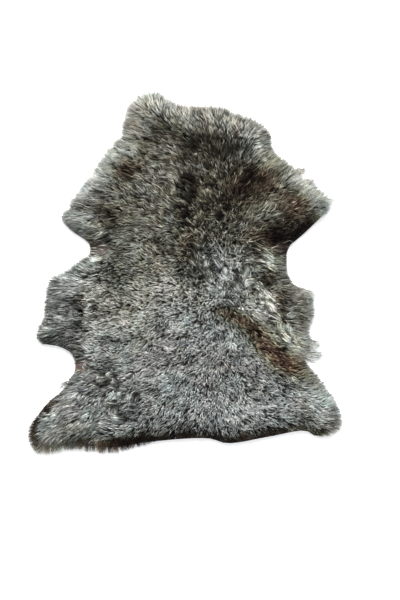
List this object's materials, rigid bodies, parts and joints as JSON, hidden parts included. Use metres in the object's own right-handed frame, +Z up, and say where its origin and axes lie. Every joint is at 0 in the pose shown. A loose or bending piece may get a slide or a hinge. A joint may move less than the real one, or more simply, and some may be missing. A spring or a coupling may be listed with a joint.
{
  "type": "sheepskin",
  "caption": "Whole sheepskin laid flat with its wool upwards, in a natural hide outline with short grey-brown wool, used as a rug or a throw.",
  "frame": {"origin": "on the floor, under the middle of the skin's bounding box", "axes": "+Y from rump to neck along the skin's length, +X across it, +Z up out of the wool"},
  "size_m": [0.7358, 1.0024, 0.046],
  "materials": {
    "wool": "matt, dense short wool with lighter tips"
  },
  "bodies": {
    "root": {"sheepskin": "wool"}
  },
  "joints": []
}
